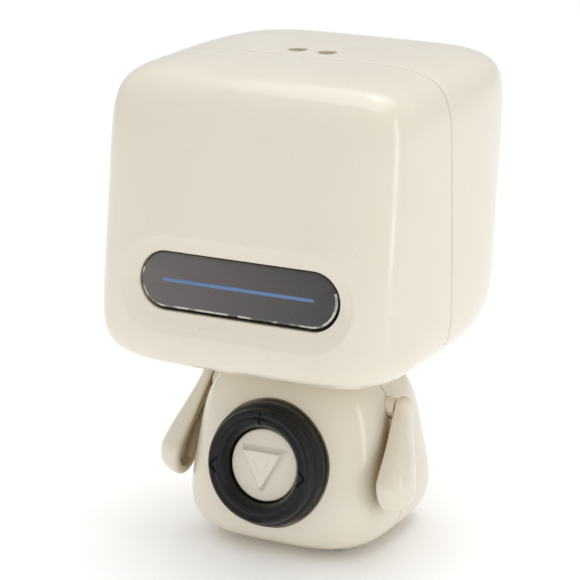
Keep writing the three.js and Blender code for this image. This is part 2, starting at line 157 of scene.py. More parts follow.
class SwollenBox:
    """A box with swollen faces, |u|^px + |v|^py + |w|^pz = 1, whose width and depth change with height.

    It is moulded as two shells with that wall, which meet at the seam's y.
    """

    def __init__(self, centre, half, power, lean, wall, seam):
        self.centre, self.half, self.power, self.lean = np.array(centre, float), half, power, lean
        self.wall, self.seam = wall, seam

    def points(self, directions):
        """Where rays from the centre, with largest part 1, meet the surface."""
        front = directions[:, 1] < 0
        power_y = np.where(front, self.power["front"], self.power["rear"])
        low, high = np.zeros(len(directions)), np.ones(len(directions))
        size = np.abs(directions)
        for _ in range(36):
            middle = (low + high) / 2
            level = ((middle * size[:, 0]) ** self.power["x"] + (middle * size[:, 1]) ** power_y
                     + (middle * size[:, 2]) ** self.power["z"])
            low, high = np.where(level < 1, middle, low), np.where(level < 1, high, middle)
        u, v, w = (directions * low[:, None]).T
        depth = np.where(front, self.half["front"], self.half["rear"])
        lean_y = np.where(front, self.lean["front"], self.lean["rear"])
        width = self.half["x"] * u * (1 + self.lean["x"] * w)
        return self.centre + np.stack([width, depth * v * (1 + lean_y * w), self.half["z"] * w], 1)

    def depth_under(self, place, flat):
        """Local height of the surface under flat points of a place on it."""
        low, high = np.full(len(flat), -8.0), np.full(len(flat), 4.0)
        for _ in range(30):
            middle = (low + high) / 2
            point = place.world(np.column_stack([flat, middle])) - self.centre
            w = point[:, 2] / self.half["z"]
            u = point[:, 0] / (self.half["x"] * (1 + self.lean["x"] * w))
            v = point[:, 1] / (self.half["front"] * (1 + self.lean["front"] * w))
            inside = (np.abs(u) ** self.power["x"] + np.abs(v) ** self.power["front"]
                      + np.abs(w) ** self.power["z"]) < 1
            low, high = np.where(inside, middle, low), np.where(inside, high, middle)
        return low

    def rear_y(self, x, z):
        """Depth of the back surface over the points (x, z)."""
        w = (z - self.centre[2]) / self.half["z"]
        u = (x - self.centre[0]) / (self.half["x"] * (1 + self.lean["x"] * w))
        v = (1 - np.abs(u) ** self.power["x"] - np.abs(w) ** self.power["z"]) ** (1 / self.power["rear"])
        return self.centre[1] + self.half["rear"] * v * (1 + self.lean["rear"] * w)


def seam_between(front, rear):
    return (extent(front)[1][1] + extent(rear)[0][1]) / 2


head_seam = seam_between("head_front_shell", "head_rear_shell")
HEAD = SwollenBox(
    (0, head_seam, centre_of("head_front_shell")[2]),
    {"x": 43, "front": 35.7, "rear": 52.2, "z": half_size("head_front_shell")[2]},
    {"x": 5.7, "front": 5.5, "rear": 2.9, "z": 8.35}, {"x": -0.016, "front": -0.144, "rear": 0.145},
    wall=2.2, seam=head_seam)
TORSO = SwollenBox(
    (0, 0, 25.15), {"x": 27.4, "front": 24, "rear": 26.4, "z": 24.85},
    {"x": 3.5, "front": 3.5, "rear": 3.5, "z": 4}, {"x": -0.13, "front": -0.2, "rear": -0.2},
    wall=2.0, seam=seam_between("torso_front_shell", "torso_rear_shell"))
EDGE = 0.25  # rounding of a moulded shell's edges
SEAM_LEDGE = (1.1, GAP - 0.03)  # depth and width of the front shells' ledge behind the seam


# ------ mesh helpers
def add_piece(name, mesh, slot, body, *nodes):
    """An object in its slot's material that rides on a CAD body and stands for some CAD nodes."""
    mesh.materials.append(MATERIALS[slot])
    piece = add_object(name, mesh)
    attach(piece, body)
    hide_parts(*nodes)
    return piece


def make_piece(name, points, faces, slot, body, flat_angle, *nodes):
    """A piece from points in millimetres, smooth but for edges sharper than the flat angle."""
    mesh = bpy.data.meshes.new(name)
    mesh.from_pydata((np.asarray(points) * MM).tolist(), [], [list(map(int, f)) for f in faces])
    made = bmesh.new()
    made.from_mesh(mesh)
    bmesh.ops.remove_doubles(made, verts=made.verts, dist=2e-7)
    bmesh.ops.dissolve_degenerate(made, edges=made.edges, dist=1e-7)
    bmesh.ops.recalc_face_normals(made, faces=made.faces)
    made.to_mesh(mesh)
    made.free()
    mesh.shade_smooth()
    mesh.set_sharp_from_angle(angle=math.radians(flat_angle))
    return add_piece(name, mesh, slot, body, *nodes)


def bridge(first, second):
    """Quads between two closed rings of point numbers."""
    count = len(first)
    return [(first[i], second[i], second[(i + 1) % count], first[(i + 1) % count]) for i in range(count)]


def strips(rows, first=0):
    """Quads between successive closed rows of points, numbered from first."""
    count = len(rows[0])
    faces = []
    for k in range(len(rows) - 1):
        for i in range(count):
            j = (i + 1) % count
            a, b = first + k * count, first + (k + 1) * count
            faces.append((a + i, a + j, b + j, b + i))
    return faces


def piece_from_rows(name, rows, slot, body, flat_angle, *nodes, cap_first=False, cap_last=False):
    """A piece whose skin runs through closed rows of points, with flat caps where they are asked for."""
    count, points, faces = len(rows[0]), np.concatenate(rows), strips(rows)
    if cap_first:
        faces.append(tuple(range(count)))
    if cap_last:
        faces.append(tuple(range(len(points) - 1, len(points) - count - 1, -1)))
    return make_piece(name, points, faces, slot, body, flat_angle, *nodes)


def circle(count):
    """Unit vectors all the way round, the first along x."""
    angles = np.linspace(0, 2 * math.pi, count, endpoint=False)
    return np.stack([np.cos(angles), np.sin(angles)], 1)


def at_height(flat, height):
    """Flat points with a height, one for all or one for each."""
    return np.column_stack([flat, np.broadcast_to(height, len(flat))])


def smoothstep(low, high, value):
    t = np.clip((value - low) / (high - low), 0, 1)
    return t * t * (3 - 2 * t)


def pill_distance(points, half_x, half_y, centre_y=0.0):
    """Distance outside a stadium that lies along x."""
    run = half_x - half_y
    dx = points[:, 0] - np.clip(points[:, 0], -run, run)
    return np.hypot(dx, points[:, 1] - centre_y) - half_y


# ------ shells with holes
class Hole:
    """A hole with a rounded rectangular outline: a core rectangle grown by a radius."""

    def __init__(self, side, place, core, radius, margin, rim=None, edge=EDGE):
        self.side, self.place, self.core, self.radius = side, place, np.array(core, float), radius
        self.margin, self.rim, self.edge = margin, rim, edge

    def outline(self, flat):
        """The outline's nearest points to some points outside it."""
        core = np.clip(flat, -self.core, self.core)
        return core + unit(flat - core) * (self.radius + self.edge)


def cube_points(side, pairs):
    """Points of the unit cube on one side, such as "y-", from pairs of parameters."""
    axis, sign = "xyz".index(side[0]), 1 if side[1] == "+" else -1
    cube = np.empty((len(pairs), 3))
    cube[:, axis] = sign
    cube[:, (axis + 1) % 3] = pairs[:, 0]
    cube[:, (axis + 2) % 3] = pairs[:, 1]
    return cube


def surface_points(shape, side, pairs):
    return shape.points(np.sin(cube_points(side, pairs) * math.pi / 2))


def hole_patch(shape, hole, nodes, block, rows=30):
    """Rows of points between a hole's outline and the edge of the block of grid cells round it.

    Newton steps move each inner point over the surface until it lies on the outline. The rows crowd
    together towards the hole.
    """
    i0, i1, j0, j1 = block
    corners = ([(i, j0) for i in range(i0, i1)] + [(i1, j) for j in range(j0, j1)]
               + [(i, j1) for i in range(i1, i0, -1)] + [(i0, j) for j in range(j1, j0, -1)])
    edge = np.array([(nodes[i], nodes[j]) for i, j in corners])

    def flat(pairs):
        return hole.place.local(surface_points(shape, hole.side, pairs))[:, :2]

    target = hole.outline(flat(edge))
    middle = edge.mean(0)
    first_guess, step, longest_move, crowding = 0.6, 1e-5, 0.05, 1.25
    inner = middle + (edge - middle) * first_guess
    for _ in range(40):
        here = flat(inner)
        along_a = (flat(inner + (step, 0)) - here) / step
        along_b = (flat(inner + (0, step)) - here) / step
        miss = target - here
        area = along_a[:, 0] * along_b[:, 1] - along_a[:, 1] * along_b[:, 0]
        move = np.stack([miss[:, 0] * along_b[:, 1] - miss[:, 1] * along_b[:, 0],
                         along_a[:, 0] * miss[:, 1] - along_a[:, 1] * miss[:, 0]], 1) / area[:, None]
        inner = inner + np.clip(move, -longest_move, longest_move)
    return [surface_points(shape, hole.side, inner + (edge - inner) * (k / rows) ** crowding)
            for k in range(rows + 1)]


def block_round(shape, hole, nodes):
    """The block of grid cells that holds a hole and its margin."""
    count = len(nodes)
    pairs = np.array([(a, b) for a in nodes for b in nodes])
    flat = hole.place.local(surface_points(shape, hole.side, pairs))[:, :2].reshape(count, count, 2)
    reach = hole.core + hole.radius + hole.margin
    inside = (np.abs(flat) < reach).all(2)
    columns, rows = np.where(inside.any(1))[0], np.where(inside.any(0))[0]
    first_column, last_column = max(columns[0] - 1, 0), min(columns[-1] + 1, count - 1)
    return first_column, last_column, max(rows[0] - 1, 0), min(rows[-1] + 1, count - 1)


def closed_surface(shape, holes, cells=64):
    """Points and faces of the whole swollen box with open holes."""
    nodes = np.linspace(-1, 1, cells + 1)
    points, faces, start = [], [], 0
    for side in ("x-", "x+", "y-", "y+", "z-", "z+"):
        mine = [(hole, block_round(shape, hole, nodes)) for hole in holes if hole.side == side]
        pairs = np.array([(a, b) for a in nodes for b in nodes])
        points.append(surface_points(shape, side, pairs))
        for i in range(cells):
            for j in range(cells):
                if any(b[0] <= i < b[1] and b[2] <= j < b[3] for _, b in mine):
                    continue
                a = start + i * (cells + 1) + j
                faces.append((a, a + cells + 1, a + cells + 2, a + 1))
        start += len(pairs)
        for hole, block in mine:
            rows = hole_patch(shape, hole, nodes, block)
            points.extend(rows)
            faces.extend(strips(rows, first=start))
            start += sum(len(row) for row in rows)
    return np.concatenate(points), faces


def vertex_normals(points, quads):
    a, b, c, d = (points[quads[:, k]] for k in range(4))
    face_normals = np.cross(c - a, d - b)
    normals = np.zeros_like(points)
    for k in range(4):
        np.add.at(normals, quads[:, k], face_normals)
    return unit(normals)


def boundary_loops(faces):
    """Loops of open edges, each in the order of its faces' winding."""
    edges = [(a, b) for f in faces for a, b in zip(f, f[1:] + f[:1]) if a != b]
    uses = Counter((min(edge), max(edge)) for edge in edges)
    after = {a: b for a, b in edges if uses[min(a, b), max(a, b)] == 1}
    loops = []
    while after:
        start, at = next(iter(after.items()))
        loop = [start]
        del after[start]
        while at != start:
            loop.append(at)
            at = after.pop(at)
        loops.append(loop)
    return loops


def half_of(points, faces, seam_y, keep_front):
    """Merges the surface and keeps what lies on one side of the seam. Every face becomes four corners."""
    made = bmesh.new()
    verts = [made.verts.new(p) for p in points]
    for f in faces:
        made.faces.new([verts[i] for i in f])
    bmesh.ops.remove_doubles(made, verts=made.verts, dist=1e-4)
    side = -1 if keep_front else 1
    cut_y = seam_y + side * (GAP / 2 + EDGE)
    bmesh.ops.bisect_plane(made, geom=made.verts[:] + made.edges[:] + made.faces[:], dist=1e-3,
                           plane_co=(0, cut_y, 0), plane_no=(0, -side, 0), clear_outer=True)
    bmesh.ops.delete(made, geom=[v for v in made.verts if not v.link_faces], context="VERTS")
    bmesh.ops.recalc_face_normals(made, faces=made.faces)
    made.verts.ensure_lookup_table()
    made.verts.index_update()
    points = np.array([v.co for v in made.verts])
    faces = []
    for f in made.faces:
        corners = [v.index for v in f.verts]
        if len(corners) == 5:
            faces.append(tuple(corners[:4]))
            corners = [corners[0], corners[3], corners[4]]
        faces.append(tuple(corners) if len(corners) == 4 else (*corners, corners[-1]))
    made.free()
    centre = points.mean(0)
    quads = np.array(faces)
    normals = vertex_normals(points, quads)
    if ((points - centre) * normals).sum() < 0:
        faces = [tuple(reversed(f)) for f in faces]
        normals = -normals
    return points, faces, normals


def edge_rim(points, normals, outward, inner, edge, ledge):
    """Rows over a shell's edge: a quarter round, a wall, a ledge if there is one, and the inner edge."""
    rows = [points + outward * edge * math.sin(t) - normals * edge * (1 - math.cos(t))
            for t in np.linspace(0, math.pi / 2, 5)[1:]]
    reach = edge
    if ledge:
        depth, width = ledge
        rows.append(points + outward * edge - normals * depth)
        reach = edge + width
        rows.append(points + outward * reach - normals * depth)
    return rows, inner + outward * reach


def shell(name, node, body, shape, holes, keep_front, sink=None):
    """One moulded half shell with real thickness, rounded edges and its holes' rims."""
    points, faces, normals = half_of(*closed_surface(shape, holes), shape.seam, keep_front)
    inner = points - normals * shape.wall
    if sink is not None:
        push = sink(points)
        points, inner = points + push, inner + push
        normals = vertex_normals(points, np.array(faces))
    count = len(points)
    extra, extra_faces, start = [], [], 2 * count
    for loop in boundary_loops(faces):
        ids = np.array(loop)
        edge_points = points[ids]
        tangent = unit(np.roll(edge_points, -1, 0) - np.roll(edge_points, 1, 0))
        outward = unit(np.cross(tangent, normals[ids]))
        centre = edge_points.mean(0)
        # The seam's loop is flat and wide. Any other loop is the edge of the hole that it lies round.
        is_seam = np.ptp(edge_points[:, 1]) < 1.0 and np.ptp(edge_points[:, 0]) > 30
        own = [h for h in holes if not is_seam and np.linalg.norm(h.place.local(centre)[:2]) < h.radius
               and abs(np.array(h.place.axes[2]) @ (centre - shape.centre)) > 10]
        if own and own[0].rim:
            rows, last = own[0].rim(edge_points)
        else:
            rounding = own[0].edge if own else EDGE
            ledge = SEAM_LEDGE if is_seam and keep_front else None
            rows, last = edge_rim(edge_points, normals[ids], outward, inner[ids], rounding, ledge)
        inner[ids] = last
        previous = ids
        for row in rows:
            current = np.arange(start, start + len(ids))
            extra.append(row)
            extra_faces.extend(bridge(previous, current))
            previous = current
            start += len(ids)
        extra_faces.extend(bridge(previous, ids + count))
    all_points = np.concatenate([points, inner, *extra])
    inner_faces = [tuple(i + count for i in reversed(f)) for f in faces]
    clean = [tuple(dict.fromkeys(f)) for f in [*faces, *inner_faces, *extra_faces]]
    return make_piece(name, all_points, [f for f in clean if len(f) > 2], "cream_shell", body, 40, node)


# ------ materials
def linear(red, green, blue):
    """Scene-linear colour of a screen colour given from 0 to 255."""
    def one(value):
        value /= 255
        return value / 12.92 if value <= 0.04045 else ((value + 0.055) / 1.055) ** 2.4
    return (one(red), one(green), one(blue), 1.0)


def set_inputs(node, **values):
    """Sets a shader node's inputs, each named with _ for a space."""
    for socket, value in values.items():
        node.inputs[socket.replace("_", " ")].default_value = value
    return node


class Finish:
    """A Principled material and its node tree, with short ways to add what varies over the surface."""

    def __init__(self, name, roughness=0.4, metallic=0.0, **settings):
        self.material = bpy.data.materials.new(name)
        self.material.use_nodes = True
        self.nodes, self.links = self.material.node_tree.nodes, self.material.node_tree.links
        self.shader = self.nodes["Principled BSDF"]
        set_inputs(self.shader, Roughness=roughness, Metallic=metallic, **settings)
        self.coordinates = self.nodes.new("ShaderNodeTexCoord").outputs["Object"]

    def noise(self, scale, detail=3.0, roughness=0.5, stretch=None):
        node = self.nodes.new("ShaderNodeTexNoise")
        set_inputs(node, Scale=scale, Detail=detail, Roughness=roughness)
        source = self.coordinates
        if stretch:
            mapping = set_inputs(self.nodes.new("ShaderNodeMapping"), Scale=stretch)
            self.links.new(source, mapping.inputs["Vector"])
            source = mapping.outputs["Vector"]
        self.links.new(source, node.inputs["Vector"])
        return node.outputs["Fac"]

    def shelter(self, reach):
        """How open the surface is to the light, 1 in the open and 0 deep in a gap."""
        node = set_inputs(self.nodes.new("ShaderNodeAmbientOcclusion"), Distance=reach)
        node.samples = 8
        return node.outputs["AO"]

    def spread(self, value, low, high, out_low, out_high):
        node = self.nodes.new("ShaderNodeMapRange")
        set_inputs(node, From_Min=low, From_Max=high, To_Min=out_low, To_Max=out_high)
        self.links.new(value, node.inputs["Value"])
        return node.outputs["Result"]

    def blend(self, amount, first, second):
        node = self.nodes.new("ShaderNodeMix")
        node.data_type = "RGBA"
        self.links.new(amount, node.inputs["Factor"])
        for socket, colour in ((6, first), (7, second)):
            if isinstance(colour, tuple):
                node.inputs[socket].default_value = colour
            else:
                self.links.new(colour, node.inputs[socket])
        return node.outputs[2]

    def part(self, index):
        """One coordinate, 0 to 2, of the object's own coordinates, in metres."""
        node = self.nodes.new("ShaderNodeSeparateXYZ")
        self.links.new(self.coordinates, node.inputs[0])
        return node.outputs[index]

    def set(self, socket, value):
        self.links.new(value, self.shader.inputs[socket])

    def bump(self, height, distance, strength=1.0):
        node = set_inputs(self.nodes.new("ShaderNodeBump"), Strength=strength, Distance=distance)
        self.links.new(height, node.inputs["Height"])
        self.links.new(node.outputs["Normal"], self.shader.inputs["Normal"])


def cream_plastic():
    """Glossy moulded ABS: slow colour drift, a few flow marks, a very fine orange peel, and painted shade that
    turns the colour tan in gaps and recesses.
    """
    made = Finish("cream_abs", roughness=0.2, Specular_IOR_Level=0.5, Coat_Weight=0.3, Coat_Roughness=0.05)
    drift = made.spread(made.noise(38, 4), 0.35, 0.65, 0, 1)
    base = made.blend(drift, linear(226, 217, 200), linear(229, 221, 204))
    specks = made.spread(made.noise(900, 2), 0.70, 0.78, 0, 0.25)
    speckled = made.blend(specks, base, linear(192, 176, 146))
    # Painted shade: ambient occlusion darkens the colour to tan in gaps, seams and recesses.
    shelter = made.spread(made.shelter(0.008), 0.48, 0.06, 0, 1)
    made.set("Base Color", made.blend(shelter, speckled, linear(174, 150, 94)))
    made.set("Roughness", made.spread(made.noise(120, 5), 0.3, 0.7, 0.16, 0.26))
    made.bump(made.noise(420, 3), 0.00002, 0.25)
    return made.material


def soft_black():
    """Satin soft-touch coating with a fine grain."""
    made = Finish("soft_touch_black", roughness=0.4, Specular_IOR_Level=0.28)
    made.set("Base Color", made.blend(made.noise(260, 4), linear(15, 15, 16), linear(26, 26, 27)))
    made.set("Roughness", made.spread(made.noise(700, 4), 0.3, 0.7, 0.3, 0.42))
    made.bump(made.noise(2600, 3), 0.00003, 0.3)
    return made.material


def smoked_window():
    """Smoked acrylic: paler on the robot's right, with faint wipe marks."""
    made = Finish("smoked_acrylic", roughness=0.2, Specular_IOR_Level=0.35, Coat_Weight=0.2,
                  Coat_Roughness=0.04)
    across = made.spread(made.part(0), -0.024, 0.030, 0, 1)
    shade = made.blend(across, linear(104, 100, 99), linear(60, 58, 57))
    marks = made.spread(made.noise(90, 5, 0.6, (1, 1, 2.4)), 0.42, 0.68, 0, 0.35)
    made.set("Base Color", made.blend(marks, shade, linear(84, 80, 77)))
    made.set("Roughness", made.spread(made.noise(300, 5), 0.3, 0.7, 0.16, 0.3))
    return made.material


def bevel_with_painted_glint():
    """The window's ground edge: pale patches of painted highlight where it catches the light, dark where the
    smoked film covers it.
    """
    made = Finish("ground_edge_painted_glint", roughness=0.3, Specular_IOR_Level=0.6)
    # Painted highlight: noise patches of pale silver on the ground edge stand in for glints.
    glint_patches = made.spread(made.noise(210, 4, 0.6), 0.42, 0.52, 0, 1)
    made.set("Base Color", made.blend(glint_patches, linear(84, 81, 78), linear(200, 196, 190)))
    made.set("Roughness", made.spread(glint_patches, 0, 1, 0.25, 0.4))
    return made.material


def lit_blue():
    """Lit blue line, even along its length with a faint grain."""
    made = Finish("light_line", roughness=0.4, Emission_Strength=0.1)
    colour = made.blend(made.noise(160, 3), linear(80, 112, 156), linear(93, 127, 170))
    made.set("Base Color", colour)
    made.set("Emission Color", colour)
    return made.material


def grained(name, low, high, roughness, metallic=0.0, scale=400, bump=0.00002, stretch=None):
    """A plain moulded, rolled or cut surface with grain in its colour, gloss and height."""
    made = Finish(name, roughness=roughness, metallic=metallic)
    grain = made.noise(scale, 4, 0.55, stretch)
    made.set("Base Color", made.blend(grain, linear(*low), linear(*high)))
    made.set("Roughness", made.spread(grain, 0.3, 0.7, max(roughness - 0.08, 0.03), roughness + 0.08))
    made.bump(grain, bump, 0.3)
    return made.material


def circuit_board():
    made = Finish("circuit_board", roughness=0.45)
    lines = made.spread(made.noise(220, 2, 0.5, (1, 3, 1)), 0.48, 0.52, 0, 1)
    made.set("Base Color", made.blend(lines, linear(28, 84, 54), linear(46, 112, 74)))
    made.bump(lines, 0.00003, 0.3)
    return made.material


MATERIALS = {
    "cream_shell": cream_plastic(),
    "soft_black": soft_black(),
    "smoked_window": smoked_window(),
    "light_guide": lit_blue(),
    "black_rubber": grained("black_rubber", (22, 22, 22), (34, 34, 34), 0.75, scale=900, bump=0.00005),
    "circuit_board": circuit_board(),
    "steel": grained("plated_steel", (168, 170, 174), (196, 198, 202), 0.3, 1.0, 300, stretch=(1, 1, 12)),
    "white_nylon": grained("white_nylon", (222, 220, 212), (234, 232, 226), 0.5),
    "servo_case": grained("servo_blue", (28, 62, 130), (40, 78, 150), 0.35),
    "battery_foil": grained("battery_foil", (170, 172, 174), (198, 200, 202), 0.4, 0.6, 150, 0.00008),
    "silicone": grained("silicone", (206, 204, 198), (218, 216, 210), 0.65),
}
PAINTED_GLINT_EDGE = bevel_with_painted_glint()


def finish_cad_nodes():
    """Gives every carried-over CAD node the material of its slot."""
    for part in RECORD["subparts"]:
        mesh = frame["nodes"][part["node"]].data
        mesh.materials.clear()
        mesh.materials.append(MATERIALS[part["material_slot"]])


# ------ head
DISH_OUTER = {"x": 32.6, "y": 12.1, "offset": -0.9}
DISH_DEPTH, DISH_LIP = 2.4, 0.6
DISH_LIP_SPAN = (0.5, -1.1)  # the lip's start and end, as distances outside the dish's outline
SEAM_FADE = 6.0  # the dish fades out over this distance in front of the seam
WINDOW_OPENING = {"shift": (0.12, -0.32, 0), "grow": 0.42, "edge": 0.6}
HEAD_NECK_R, TORSO_NECK_R, MICROPHONE_R, GRILLE_CORNER = 7.4, 7.6, 2.85, 3.0


def dish_push(points):
    """The shallow dish round the window: a soft lip, then a slope down to the window's edge."""
    flat = face.local(points)
    outer = pill_distance(flat, DISH_OUTER["x"], DISH_OUTER["y"], DISH_OUTER["offset"])
    width = DISH_OUTER["x"] - window_half_x
    slope = np.clip(-outer / width, 0, 1)
    soft = DISH_LIP * smoothstep(*DISH_LIP_SPAN, outer)
    soft += (DISH_DEPTH - DISH_LIP) * smoothstep(0.0, 1.0, slope)
    facing = np.clip(-(points[:, 1] - HEAD.seam) / SEAM_FADE, 0, 1)
    return -face_out * (soft * facing)[:, None]


def build_head():
    opening = Facing(face.world(WINDOW_OPENING["shift"]), *face.axes[:2])
    window_hole = Hole("y-", opening, (window_half_x - window_half_y, 0),
                       window_half_y + WINDOW_OPENING["grow"], margin=7.5, edge=WINDOW_OPENING["edge"])
    neck_hole = Hole("z-", from_below(), (0, 0), HEAD_NECK_R, margin=4)
    shell("head_front_cover", "head_front_shell", "head", HEAD, [window_hole, neck_hole], True, dish_push)

    core = half_size("speaker_grille")[[0, 2]] - GRILLE_CORNER
    grille_place = from_behind(0, centre_of("speaker_grille")[2])
    holes = [neck_hole, Hole("y+", grille_place, core, GRILLE_CORNER + GAP, margin=3)]
    for side in ("right", "left"):
        above = from_above(*centre_of(f"{side}_microphone")[:2])
        holes.append(Hole("z+", above, (0, 0), MICROPHONE_R - EDGE, margin=1.2))
    shell("head_rear_cover", "head_rear_shell", "head", HEAD, holes, False)


def build_grille():
    """The speaker grille: a plate that follows the back of the head, with five slots."""
    half_x, _, half_z = half_size("speaker_grille")
    core_x, core_z = half_x - GRILLE_CORNER, half_z - GRILLE_CORNER
    centre_z = centre_of("speaker_grille")[2]
    slot_x, slot_half, pitch = 9.5, 0.8, 3.6
    thick, sunk, least_step = 1.8, 0.1, 0.45
    columns = np.unique(np.round(np.concatenate([np.linspace(-half_x, half_x, 33), [-slot_x, slot_x]]), 6))
    slot_edges = [pitch * k + s * slot_half for k in range(-2, 3) for s in (-1, 1)]
    levels = np.unique(np.round(np.concatenate([np.linspace(-half_z, half_z, 15), slot_edges]), 6))
    levels = [z for z in levels
              if z in np.round(slot_edges, 6) or min(abs(z - e) for e in slot_edges) > least_step]
    made = bmesh.new()
    grid = {}
    for i, x in enumerate(columns):
        for k, z in enumerate(levels):
            over = max(abs(x) - core_x, 0), max(abs(z) - core_z, 0)
            reach = math.hypot(*over)
            px, pz = x, z
            if min(over) > 0 and reach > GRILLE_CORNER:
                px = math.copysign(core_x + over[0] * GRILLE_CORNER / reach, x)
                pz = math.copysign(core_z + over[1] * GRILLE_CORNER / reach, z)
            y = HEAD.rear_y(np.array([px]), np.array([centre_z + pz]))[0] - sunk
            grid[i, k] = made.verts.new(Vector((px, y, centre_z + pz)) * MM)
    for i in range(len(columns) - 1):
        for k in range(len(levels) - 1):
            x, z = (columns[i] + columns[i + 1]) / 2, (levels[k] + levels[k + 1]) / 2
            in_slot = abs(x) < slot_x and abs(z - pitch * round(z / pitch)) < slot_half
            if not in_slot:
                made.faces.new([grid[i, k], grid[i, k + 1], grid[i + 1, k + 1], grid[i + 1, k]])
    bmesh.ops.delete(made, geom=[v for v in made.verts if not v.link_faces], context="VERTS")
    bmesh.ops.remove_doubles(made, verts=made.verts, dist=1e-7)
    bmesh.ops.recalc_face_normals(made, faces=made.faces)
    if sum(f.normal.y for f in made.faces) < 0:
        bmesh.ops.reverse_faces(made, faces=made.faces)
    mesh = bpy.data.meshes.new("speaker_grille_plate")
    made.to_mesh(mesh)
    made.free()
    plate = add_piece("speaker_grille_plate", mesh, "soft_black", "head", "speaker_grille")
    plate.modifiers.new("thick", "SOLIDIFY").thickness = thick * MM
    plate.modifiers["thick"].offset = -1
    round_edges(plate, 0.22)


def round_edges(thing, width, segments=3):
    """Rounds the sharp edges of an object and smooths its shading."""
    bevel = thing.modifiers.new("edges", "BEVEL")
    bevel.width = width * MM
    bevel.segments = segments
    bevel.limit_method = "ANGLE"
    bevel.angle_limit = math.radians(35)
    bevel.harden_normals = True
    thing.data.shade_smooth()


# ------ face
def pill_rows(place, half_x, half_y, steps, count=240):
    """Rows of a stadium-shaped plate, one for each (inset, depth), as points in millimetres.

    Points are shared evenly between the two round ends and the two straight runs between them.
    """
    run, arc = half_x - half_y, math.pi * half_y
    core, direction = np.zeros((count, 2)), np.zeros((count, 2))
    for i, s in enumerate(np.linspace(0, 2 * arc + 4 * run, count, endpoint=False)):
        if s < arc:
            t = s / half_y - math.pi / 2
            core[i], direction[i] = (run, 0), (math.cos(t), math.sin(t))
        elif s < arc + 2 * run:
            core[i], direction[i] = (run - (s - arc), 0), (0, 1)
        elif s < 2 * arc + 2 * run:
            t = (s - arc - 2 * run) / half_y + math.pi / 2
            core[i], direction[i] = (-run, 0), (math.cos(t), math.sin(t))
        else:
            core[i], direction[i] = (-run + (s - 2 * arc - 2 * run), 0), (0, -1)
    return [place.world(at_height(core + direction * max(half_y - inset, 0), depth))
            for inset, depth in steps]


LINE_HALF, WINDOW_BEVEL = 0.42, 0.42
GLINT_TOP = 0.35  # how far up the window's ends the painted highlight on the ground edge goes, as a part of its half height


def build_window():
    front, back, bevel = -WINDOW_DEPTH, -WINDOW_DEPTH - WINDOW_THICK, WINDOW_BEVEL
    steps = [(window_half_y, back), (0, back), (0, front - bevel), (0.04, front - bevel * 0.6),
             (bevel * 0.9, front - 0.03), (bevel * 1.3, front)]
    steps += [(inset, front) for inset in np.linspace(1, window_half_y, 9)]
    rows = pill_rows(face, window_half_x, window_half_y, steps)
    plate = piece_from_rows("face_window_plate", rows, "smoked_window", "head", 30, "face_window")
    # Painted highlight: the glinting edge finish goes only on the lower half of the bevel and low on its ends.
    plate.data.materials.append(PAINTED_GLINT_EDGE)
    for polygon in plate.data.polygons:
        x, y, depth = face.local(np.array(polygon.center) / MM)
        on_bevel = front - bevel - 0.02 < depth < front - 0.01
        at_end = abs(x) > window_half_x - window_half_y
        if on_bevel and y < GLINT_TOP * window_half_y and (y < 0 or at_end):
            polygon.material_index = 1

    half = LINE_HALF
    steps = [(half, front - 0.2), (0, front - 0.2), (0, front + 0.01), (0.1, front + 0.04),
             (half, front + 0.05)]
    rows = pill_rows(face, half_size("light_bar")[0], half, steps, 120)
    piece_from_rows("light_line", rows, "light_guide", "head", 40, "light_bar")


# ------ torso
RING_SEAT = {"r": 16.95, "floor": -1.7, "under_rim": 1.0, "lowest": -3.35, "hole_r": 13.6, "edge": 0.12}
SHELL_BACK = -3.6  # how far the seat's hole goes through the shell
BOSS_HOLE_R, BOSS_HOLE_EDGE = 2.82, 0.15
SOCKET_HOLE, SWITCH_HOLE = ((2.8, 0), 2.1), ((1.9, 0.9), 1.0)  # core rectangle and radius
PAD_CORNER = 3.0


def ring_seat_rim(points):
    """The ring's seat: a rounded edge, a short wall, a flat floor and the hole through the shell."""
    flat = chest.local(points)
    direction = unit(flat[:, :2])
    top, radius, edge, hole_r = flat[:, 2], RING_SEAT["r"], RING_SEAT["edge"], RING_SEAT["hole_r"]

    def row(r, depth):
        return chest.world(at_height(direction * r, depth))

    rows = [row(radius + edge * (1 - math.sin(t)), top - edge * (1 - math.cos(t)))
            for t in np.linspace(0, math.pi / 2, 5)[1:]]
    floor = np.clip(top - RING_SEAT["under_rim"], RING_SEAT["lowest"], RING_SEAT["floor"])
    rows += [row(radius, floor), row(hole_r + 0.2, floor), row(hole_r, floor - 0.2), row(hole_r, SHELL_BACK)]
    return rows, row(radius, np.minimum(top - TORSO.wall, SHELL_BACK))


def build_torso():
    ring_hole = Hole("y-", chest, (0, 0), RING_SEAT["r"], 2.5, ring_seat_rim, RING_SEAT["edge"])
    neck_hole = Hole("z+", from_above(), (0, 0), TORSO_NECK_R, margin=3)
    pad_core = extent("foot_pad")[1][:2] - PAD_CORNER
    shared = [neck_hole, Hole("z-", from_below(), pad_core, PAD_CORNER + GAP, margin=2.5)]
    for side, sign in (("x+", 1), ("x-", -1)):
        place = Facing((0, *shoulder[1:]), (0, sign, 0), (0, 0, 1))
        shared.append(Hole(side, place, (0, 0), BOSS_HOLE_R, margin=2.2, edge=BOSS_HOLE_EDGE))
    shell("torso_front_cover", "torso_front_shell", "torso", TORSO, [ring_hole, *shared], True)

    port_z = centre_of("charge_socket")[2]
    socket = Hole("y+", from_behind(0, port_z), *SOCKET_HOLE, margin=1.4)
    knob_x = centre_of("power_switch_knob")[0]
    switch = Hole("y+", from_behind(knob_x, port_z), *SWITCH_HOLE, margin=1.2)
    shell("torso_rear_cover", "torso_rear_shell", "torso", TORSO, [*shared, socket, switch], False)


